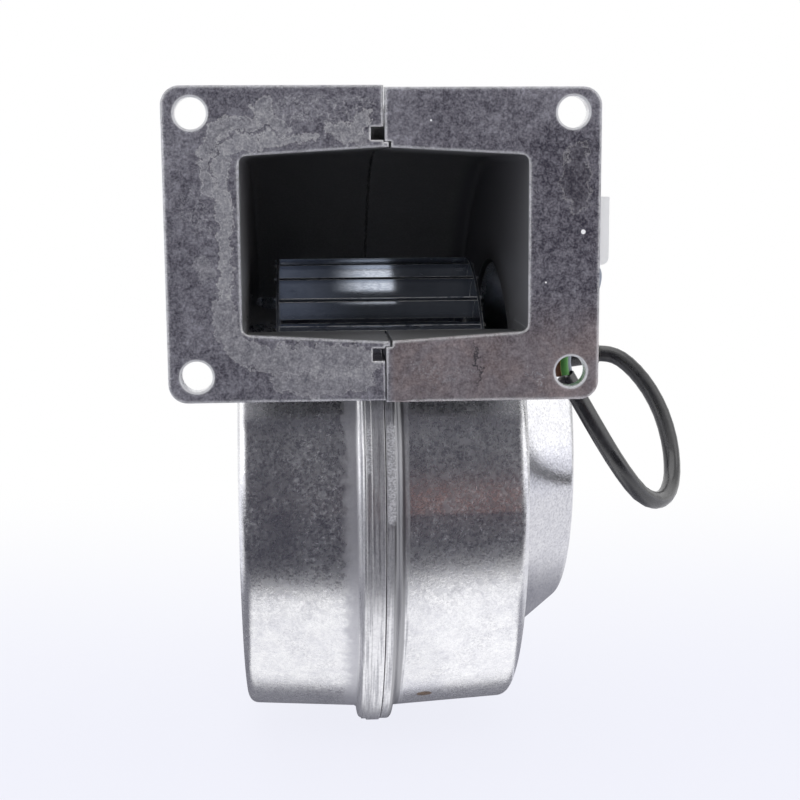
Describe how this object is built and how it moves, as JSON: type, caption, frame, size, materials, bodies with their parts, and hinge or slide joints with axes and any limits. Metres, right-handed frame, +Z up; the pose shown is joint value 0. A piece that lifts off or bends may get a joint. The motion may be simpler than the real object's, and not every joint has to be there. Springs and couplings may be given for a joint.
{
  "type": "centrifugal fan",
  "caption": "Single-inlet centrifugal fan with a die-cast split scroll, rectangular outlet flange with bolt holes, forward-curved impeller and external rotor motor with a short lead.",
  "frame": {"origin": "middle of the outlet flange face", "axes": "+X along the fan axis towards the motor, +Y into the fan away from the outlet, +Z up"},
  "size_m": [0.1505, 0.1741, 0.197],
  "materials": {
    "casting": "bare die casting, dull, with oxide stains",
    "galvanised": "zinc coated sheet, satin",
    "fastener": "zinc plated",
    "steel": "ground",
    "bell": "black, satin",
    "lamination": "stacked sheet",
    "insulator": "white moulding",
    "winding": "enamelled copper wire",
    "sheath": "matt black",
    "core_earth": "green with a yellow stripe",
    "core_live": "brown",
    "core_neutral": "grey blue",
    "terminal": "bright"
  },
  "bodies": {
    "housing": {"inlet_shell": "casting", "motor_shell": "casting", "clamp_screws": "fastener", "front_bearing": "steel", "rear_bearing": "steel", "preload_washer": "steel", "motor_flange": "casting", "stator_core": "lamination", "stator_insulators": "insulator", "stator_windings": "winding", "motor_screws": "fastener", "strain_relief": "sheath", "power_lead": "sheath", "earth_core": "core_earth", "live_core": "core_live", "neutral_core": "core_neutral", "connector_block": "insulator", "terminal_screws": "terminal", "block_screw": "fastener"},
    "rotor": {"impeller_blades": "galvanised", "front_ring": "galvanised", "back_disc": "galvanised", "disc_rivets": "fastener", "rotor_bell": "bell", "rotor_core": "lamination", "rotor_hub": "steel", "motor_shaft": "steel", "shaft_circlip": "bell"}
  },
  "joints": [
    {"name": "rotor_spin", "type": "hinge", "parent": "housing", "child": "rotor", "pos_m": [0, 0.08, -0.068], "axis": [1, 0, 0], "continuous": true}
  ]
}
